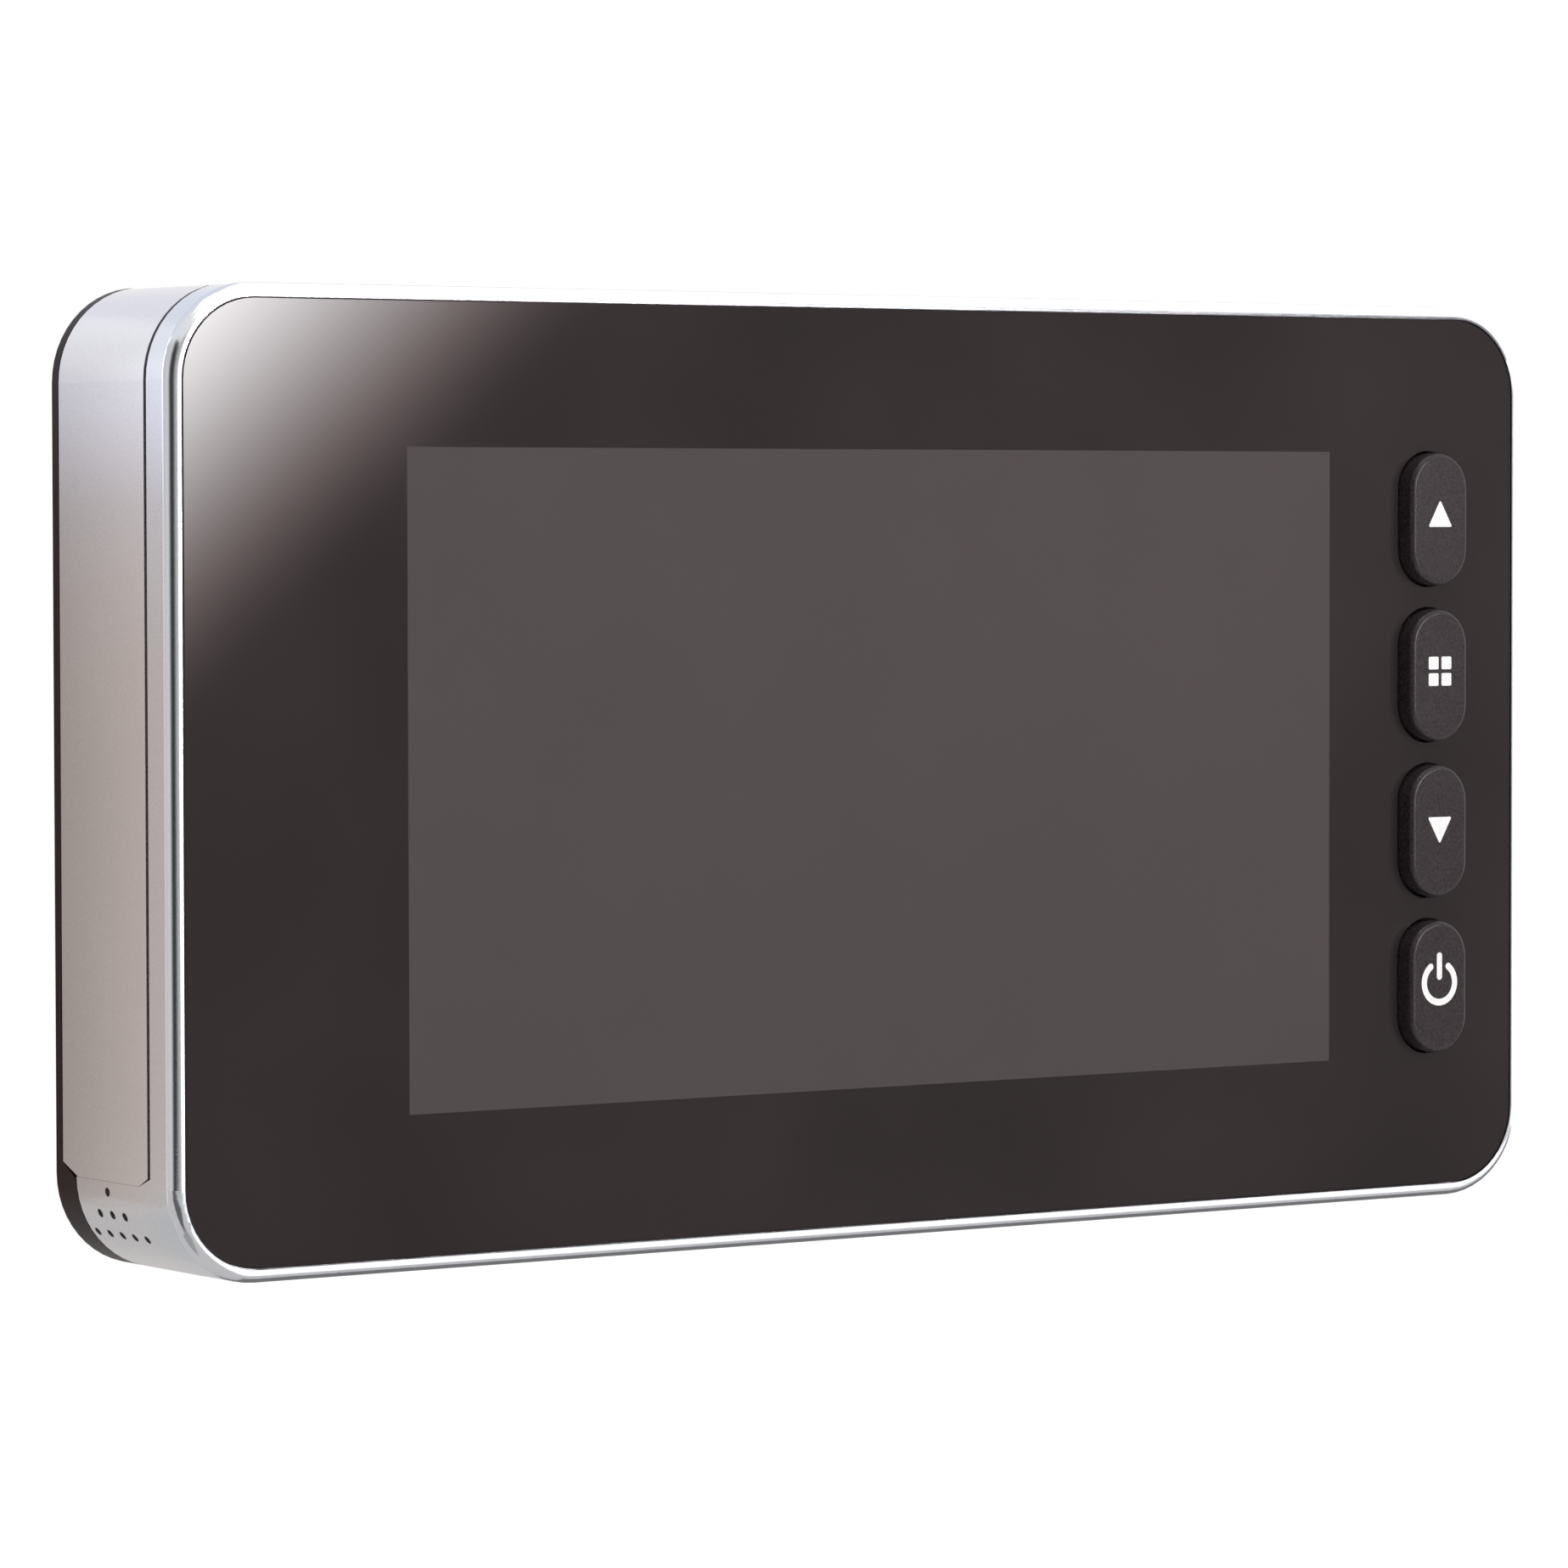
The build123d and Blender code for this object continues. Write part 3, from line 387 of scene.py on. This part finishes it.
def silver_paint(name, front_reflection_tint, front):
    """Silver finish: satin flakes on the flats, polished along the front rim."""
    material, tree, shader = shader_nodes(name)
    flake = noise(tree, SILVER_FLAKE, detail=FINE_DETAIL)
    cloud = calculated(tree, "MULTIPLY", noise(tree, SILVER_CLOUD), SILVER_CLOUD_SHARE)
    tone = weighed(tree, flake, SILVER_FLAKE_SHARE, cloud)
    depth = calculated(tree, "SUBTRACT", separated(tree)["Y"], front)
    # Painted reflection: over the first millimetres from the front, the colour turns from the
    # front tint to plain silver. On the bezel this cooler front stands in for reflected cool
    # light
    share = calculated(tree, "DIVIDE", depth, SILVER_REFLECTION_TINT_DEPTH)
    reflection_tint_stops = [
        (SILVER_REFLECTION_TINT_START_SHARE, (*front_reflection_tint, 1.0)),
        (SILVER_REFLECTION_TINT_END_SHARE, (*SILVER, 1.0)),
    ]
    reflection_tint = ramp(tree, share, reflection_tint_stops)
    flecks = tones(tree, tone, WHITE, SILVER_DARKEST, 1.0)
    tree.links.new(multiplied(tree, reflection_tint, flecks), shader.inputs["Base Color"])
    rim = calculated(tree, "LESS_THAN", depth, RIM_DEPTH)
    satin = weighed(tree, flake, SILVER_FLAKE_ROUGHNESS, SILVER_ROUGHNESS)
    roughness = weighed(tree, rim, -RIM_POLISH, satin)
    tree.links.new(roughness, shader.inputs["Roughness"])
    shader.inputs["Metallic"].default_value = SILVER_METALLIC
    bump(tree, shader, flake, SILVER_RELIEF)
    return material


def gloss_panel():
    """Gloss black print behind clear acrylic, with a very faint unevenness."""
    material, tree, shader = shader_nodes("gloss_black")
    cloud = noise(tree, PANEL_CLOUD)
    clouds = tones(tree, cloud, PANEL_COLOUR, 1 - PANEL_CONTRAST, 1 + PANEL_CONTRAST)
    tree.links.new(clouds, shader.inputs["Base Color"])
    shader.inputs["Roughness"].default_value = PANEL_ROUGHNESS
    shader.inputs["IOR"].default_value = PANEL_IOR
    shader.inputs["Specular IOR Level"].default_value = PANEL_SPECULAR
    return material


def dark_screen():
    """Switched-off screen behind its window."""
    material, tree, shader = shader_nodes("screen")
    cloud = noise(tree, SCREEN_CLOUD)
    clouds = tones(tree, cloud, SCREEN_COLOUR, 1 - SCREEN_CONTRAST, 1 + SCREEN_CONTRAST)
    tree.links.new(clouds, shader.inputs["Base Color"])
    shader.inputs["Roughness"].default_value = SCREEN_ROUGHNESS
    shader.inputs["Specular IOR Level"].default_value = SCREEN_SPECULAR
    return material


def brushed(name, colour):
    """Sheet metal brushed along X, with streaks in colour, roughness and relief."""
    material, tree, shader = shader_nodes(name)
    streak = noise(tree, STREAK_WIDTH, detail=FINE_DETAIL, stretch=STREAK_STRETCH)
    streaks = tones(tree, streak, colour, STREAK_DARKEST, STREAK_LIGHTEST)
    tree.links.new(streaks, shader.inputs["Base Color"])
    satin = weighed(tree, streak, STEEL_STREAK_ROUGHNESS, STEEL_ROUGHNESS)
    tree.links.new(satin, shader.inputs["Roughness"])
    shader.inputs["Metallic"].default_value = 1.0
    bump(tree, shader, streak, STEEL_RELIEF)
    return material


def cell_sleeve(colour, lowest, highest):
    """Printed sleeve of a cell with bare steel at both ends."""
    material, tree, shader = shader_nodes("sleeve")
    middle = (lowest + highest) / 2
    sleeve_reach = (highest - lowest) / 2 - CELL_END
    height = calculated(tree, "SUBTRACT", separated(tree)["Z"], middle)
    off_middle = calculated(tree, "ABSOLUTE", height, 0)
    bare = calculated(tree, "GREATER_THAN", off_middle, sleeve_reach)
    band = calculated(tree, "GREATER_THAN", off_middle, sleeve_reach - CELL_BAND)
    zone = calculated(tree, "DIVIDE", calculated(tree, "ADD", bare, band), 2)
    zone_stops = [
        (0.0, (*colour[:3], 1.0)),
        (CELL_BAND_STOP, CELL_BAND_COLOUR),
        (CELL_STEEL_STOP, CELL_STEEL),
    ]
    zones = ramp(tree, zone, zone_stops)
    zones.node.color_ramp.interpolation = "CONSTANT"
    speck = noise(tree, CELL_GRAIN)
    flecks = tones(tree, speck, WHITE, CELL_DARKEST, 1.0)
    tree.links.new(multiplied(tree, zones, flecks), shader.inputs["Base Color"])
    shader.inputs["Metallic"].default_value = CELL_METALLIC
    shader.inputs["Roughness"].default_value = CELL_ROUGHNESS
    bump(tree, shader, speck, CELL_RELIEF)
    return material


def printed_board(colour):
    """Circuit board with lighter tracks under its lacquer."""
    material, tree, shader = shader_nodes("circuit_board")
    mapping = tree.nodes.new("ShaderNodeMapping")
    mapping.inputs["Rotation"].default_value = (radians(QUARTER_TURN), 0.0, 0.0)
    tree.links.new(surface_point(tree), mapping.inputs["Vector"])
    tracks = tree.nodes.new("ShaderNodeTexBrick")
    tracks.inputs["Scale"].default_value = 1 / TRACK_PITCH
    tracks.inputs["Mortar Size"].default_value = TRACK_GAP
    tracks.inputs["Color1"].default_value = shade(colour, BOARD_DARKEST)
    tracks.inputs["Color2"].default_value = shade(colour, BOARD_LIGHTEST)
    tracks.inputs["Mortar"].default_value = shade(colour, TRACK_TONE)
    tree.links.new(mapping.outputs["Vector"], tracks.inputs["Vector"])
    tree.links.new(tracks.outputs["Color"], shader.inputs["Base Color"])
    shader.inputs["Roughness"].default_value = BOARD_ROUGHNESS
    bump(tree, shader, tracks.outputs["Fac"], BOARD_RELIEF)
    return material


def finishes(record):
    """One material for each of the record's slots."""
    classes = {"brushed_steel": brushed, "rubber": rubber}
    colours = {entry["slot"]: entry["base_color"] for entry in record["materials"]}
    made = {}
    for entry in record["materials"]:
        slot = entry["slot"]
        made[slot] = classes.get(entry["class"], plain)(slot, colours[slot])
    cell_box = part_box("left_outer_cell")
    made["cell_sleeve"] = cell_sleeve(colours["cell_sleeve"], cell_box[0].z, cell_box[1].z)
    made["board_green"] = printed_board(colours["board_green"])
    made["magnet_steel"] = brushed("magnet", colours["magnet_steel"])
    made["silver_paint"] = silver_paint("satin_silver", SILVER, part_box("front_bezel")[0].y)
    made["panel_black"] = gloss_panel()
    made["screen_grey"] = dark_screen()
    made["button_charcoal"] = key_plastic()
    made["housing_black"] = housing_plastic()
    return made


def dress(nodes, record):
    """Give each CAD node the finish of its slot, and the bezel a silver whose front has a
    painted cool reflection.
    """
    made = finishes(record)
    for part in record["subparts"]:
        data = nodes[part["node"]].data
        data.materials.clear()
        data.materials.append(made[part["material_slot"]])
    # Painted reflection: the bezel's front is tinted cooler, standing in for cool light
    # reflected there
    bezel_painted_reflection_silver = silver_paint("bezel_painted_reflection_silver", PAINTED_REFLECTION_SILVER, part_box("front_bezel")[0].y)
    nodes["front_bezel"].data.materials[0] = bezel_painted_reflection_silver


def linked(name, data):
    """New object in the scene."""
    made = bpy.data.objects.new(name, data)
    bpy.context.scene.collection.objects.link(made)
    return made


def camera():
    """Camera at the photograph's viewpoint."""
    data = bpy.data.cameras.new("view")
    data.lens = CAMERA_LENS
    data.sensor_width = CAMERA_SENSOR
    data.clip_start = CAMERA_NEAREST
    data.clip_end = CAMERA_FARTHEST
    made = linked("view", data)
    turn = Matrix.Rotation(radians(CAMERA_TURN), 4, "Z")
    tip = Matrix.Rotation(radians(QUARTER_TURN - CAMERA_DIP), 4, "X")
    roll = Matrix.Rotation(radians(CAMERA_ROLL), 4, "Z")
    made.matrix_world = Matrix.Translation(CAMERA_PLACE) @ turn @ tip @ roll
    bpy.context.scene.camera = made


def lamp():
    """Soft square lamp high up in front, which faces the part."""
    data = bpy.data.lights.new("top", "AREA")
    data.shape = "SQUARE"
    data.size = LAMP_SIZE
    data.energy = LAMP_POWER
    made = linked("top", data)
    made.location = LAMP_PLACE
    made.rotation_euler = (-LAMP_PLACE).to_track_quat("-Z", "Y").to_euler()
    made.visible_camera = False


def sheet(name, half_width, half_height):
    """Flat rectangle about its own origin."""
    mesh = bpy.data.meshes.new(name)
    points = [
        (-half_width, -half_height, 0),
        (half_width, -half_height, 0),
        (half_width, half_height, 0),
        (-half_width, half_height, 0),
    ]
    mesh.from_pydata(points, [], [(0, 1, 2, 3)])
    return linked(name, mesh)


def seen(tree, by_camera, in_gloss):
    """One strength for what the camera sees itself, another for what gloss and glass show."""
    path = tree.nodes.new("ShaderNodeLightPath").outputs
    gloss = calculated(tree, "MAXIMUM", path["Is Glossy Ray"], path["Is Transmission Ray"])
    direct = calculated(tree, "MULTIPLY", path["Is Camera Ray"], by_camera)
    return weighed(tree, gloss, in_gloss, direct)


def floor(height):
    """Pale floor under the part, which keeps the shadow."""
    made = sheet("floor", FLOOR_SIZE, FLOOR_SIZE)
    made.location = (0, 0, height)
    material, tree, shader = shader_nodes("floor")
    shader.inputs["Base Color"].default_value = FLOOR_COLOUR
    shader.inputs["Roughness"].default_value = FLOOR_ROUGHNESS
    shader.inputs["Specular IOR Level"].default_value = 0.0
    shader.inputs["Emission Color"].default_value = WHITE
    glow = seen(tree, FLOOR_GLOW, FLOOR_GLOSS_GLOW)
    tree.links.new(glow, shader.inputs["Emission Strength"])
    made.data.materials.append(material)


def world():
    """White where it is seen, a plain fill elsewhere."""
    made = bpy.data.worlds.new("studio")
    bpy.context.scene.world = made
    made.use_nodes = True
    tree = made.node_tree
    background = tree.nodes["Background"]
    shown = seen(tree, 1.0, 1.0)
    strength = weighed(tree, shown, 1 - WORLD_FILL, WORLD_FILL)
    tree.links.new(strength, background.inputs["Strength"])
    colour = ramp(tree, shown, [(0.0, FILL_COLOUR), (1.0, WHITE)])
    tree.links.new(colour, background.inputs["Color"])


def direction(turn, rise):
    """Direction that is turned from -Y towards +X and raised, in degrees."""
    level = cos(radians(rise))
    return Vector(
        (sin(radians(turn)) * level, -cos(radians(turn)) * level, sin(radians(rise)))
    )


def softbox(panel_face):
    """Front softbox that fades out along a slanted edge."""
    mirrored = Vector((CAMERA_PLACE.x, 2 * panel_face - CAMERA_PLACE.y, CAMERA_PLACE.z))
    degree = SOFTBOX_DISTANCE * tan(radians(1))
    made = sheet("softbox", SOFTBOX_HALF_LENGTH * degree, SOFTBOX_HALF_WIDTH * degree)
    away = direction(SOFTBOX_TURN, SOFTBOX_RISE)
    facing = away.to_track_quat("-Z", "Y").to_matrix().to_4x4()
    slant = Matrix.Rotation(radians(SOFTBOX_SLANT), 4, "Z")
    made.matrix_world = Matrix.Translation(mirrored + away * SOFTBOX_DISTANCE) @ facing @ slant
    made.visible_camera = False
    material, tree, shader = shader_nodes("softbox")
    tree.nodes.remove(shader)
    # The fade is counted as rise less turn, and a step across the slanted edge changes
    # both alike, so it counts root two times
    middle = SOFTBOX_RISE - SOFTBOX_TURN - SOFTBOX_FADE_START
    inside = weighed(tree, separated(tree)["Y"], sqrt(2) / degree, middle)
    share = calculated(tree, "DIVIDE", inside, SOFTBOX_FADE_SPAN)
    share.node.use_clamp = True
    fade = calculated(tree, "POWER", share, SOFTBOX_FADE_POWER)
    power = calculated(tree, "MULTIPLY", fade, SOFTBOX_PEAK)
    glow = tree.nodes.new("ShaderNodeEmission")
    tree.links.new(power, glow.inputs["Strength"])
    tree.links.new(ramp(tree, share, SOFTBOX_TINTS), glow.inputs["Color"])
    both = tree.nodes.new("ShaderNodeAddShader")
    tree.links.new(glow.outputs["Emission"], both.inputs[0])
    clear = tree.nodes.new("ShaderNodeBsdfTransparent")
    tree.links.new(clear.outputs["BSDF"], both.inputs[1])
    tree.links.new(both.outputs["Shader"], tree.nodes["Material Output"].inputs["Surface"])
    made.data.materials.append(material)


def glow_sheet(made, strength, lights_part=False):
    """Make a sheet a card of even brightness that gloss and metal show."""
    made.visible_camera = False
    made.visible_shadow = False
    made.visible_diffuse = lights_part
    material, tree, shader = shader_nodes(made.name)
    shader.inputs["Base Color"].default_value = BLACK
    shader.inputs["Specular IOR Level"].default_value = 0.0
    shader.inputs["Emission Color"].default_value = WHITE
    shader.inputs["Emission Strength"].default_value = strength
    made.data.materials.append(material)
    return tree, shader


def card(name, turn, rise, half_turn, half_rise, distance, strength, lights_part=False):
    """Card of even brightness around the part, placed by directions."""
    made = sheet(name, distance * tan(radians(half_turn)), distance * tan(radians(half_rise)))
    away = direction(turn, rise)
    made.location = away * distance
    made.rotation_euler = away.to_track_quat("-Z", "Y").to_euler()
    tree, shader = glow_sheet(made, strength, lights_part)
    width = 2 * distance * tan(radians(half_turn))
    across = weighed(tree, separated(tree)["X"], 1 / width, MIDDLE)
    return tree, shader, across


def toned_card(name, numbers, stops):
    """Card whose grey changes along its width."""
    tree, shader, across = card(name, *numbers)
    greys = [(place, (tone, tone, tone, 1.0)) for place, tone in stops]
    tree.links.new(ramp(tree, across, greys), shader.inputs["Emission Color"])


def floor_card(name, low_x, high_x, low_y, high_y, strength, height):
    """Card that lies just above the floor."""
    made = sheet(name, (high_x - low_x) / 2, (high_y - low_y) / 2)
    made.location = ((low_x + high_x) / 2, (low_y + high_y) / 2, height)
    glow_sheet(made, strength)


def side_card():
    """Near card whose brightness changes with height and depth."""
    made = sheet("side_card", SIDE_CARD_HALF_WIDTH, SIDE_CARD_HALF_HEIGHT)
    made.location = SIDE_CARD_PLACE
    made.rotation_euler = SIDE_CARD_AWAY.to_track_quat("-Z", "Y").to_euler()
    tree, shader = glow_sheet(made, 1.0)
    parts = separated(tree)
    share = weighed(tree, parts["Y"], 1 / (2 * SIDE_CARD_HALF_HEIGHT), MIDDLE)
    tree.links.new(ramp(tree, share, SIDE_CARD_STOPS), shader.inputs["Emission Color"])
    forward = weighed(tree, parts["X"], -SIDE_CARD_GAIN, 1.0)
    top = weighed(tree, share, SIDE_CARD_TOP_GROWTH, -SIDE_CARD_TOP_DROP)
    end = weighed(tree, share, -SIDE_CARD_END_GROWTH, 1.0)
    least = calculated(tree, "MAXIMUM", calculated(tree, "MAXIMUM", top, end), SIDE_CARD_LEAST)
    gain = calculated(tree, "MAXIMUM", forward, least)
    tree.links.new(gain, shader.inputs["Emission Strength"])


def cards(floor_height):
    """All the cards around the part, near the floor and beside it."""
    card("front_card", *FRONT_CARD, lights_part=True)
    card("top_card", *TOP_CARD)
    card("right_card", *RIGHT_CARD)
    toned_card("right_flag", RIGHT_FLAG, RIGHT_FLAG_STOPS)
    toned_card("left_screen", LEFT_SCREEN, LEFT_SCREEN_STOPS)
    toned_card("front_veil", FRONT_VEIL, FRONT_VEIL_STOPS)
    back_shader = card("back_card", *BACK_CARD)[1]
    back_shader.inputs["Emission Color"].default_value = BACK_CARD_COLOUR
    for name, numbers in FLOOR_CARDS.items():
        floor_card(name, *numbers, floor_height + FLOOR_CARD_RISE)
    side_card()


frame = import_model()
cad_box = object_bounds()
dress(frame["nodes"], frame["record"])

camera()
world()
floor(cad_box[0].z - FLOOR_DROP)
softbox(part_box("front_panel")[0].y)
cards(cad_box[0].z - FLOOR_DROP)
lamp()

bpy.context.scene.view_settings.view_transform = "Standard"
